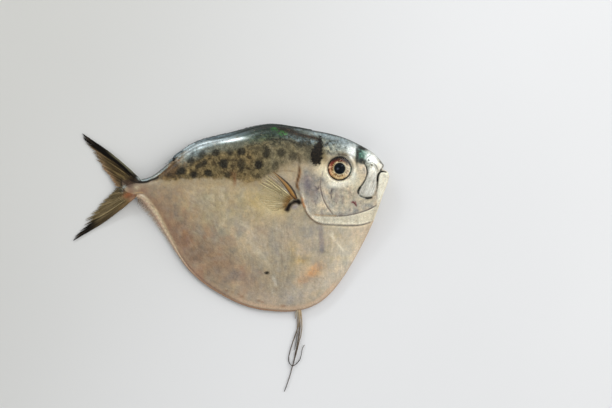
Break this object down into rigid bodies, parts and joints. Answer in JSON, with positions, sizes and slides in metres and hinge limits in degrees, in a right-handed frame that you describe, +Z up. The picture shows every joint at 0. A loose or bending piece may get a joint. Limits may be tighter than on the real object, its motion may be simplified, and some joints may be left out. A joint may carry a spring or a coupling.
{
  "type": "whole raw fish",
  "caption": "Whole raw moonfish lying on its flank: thin deep silvery body with a knife-edged belly, forked tail, small upturned mouth and long trailing belly-fin filaments.",
  "frame": {"origin": "middle of the outline's box, on the surface the fish lies on", "axes": "+X towards the snout, +Y towards the back, +Z up from the surface, out of the right flank"},
  "size_m": [0.2007, 0.1717, 0.0169],
  "materials": {
    "skin": "wet, glossy, silvery belly and darker slate blue back with round dark spots"
  },
  "bodies": {
    "root": {"fish": "skin"}
  },
  "joints": []
}
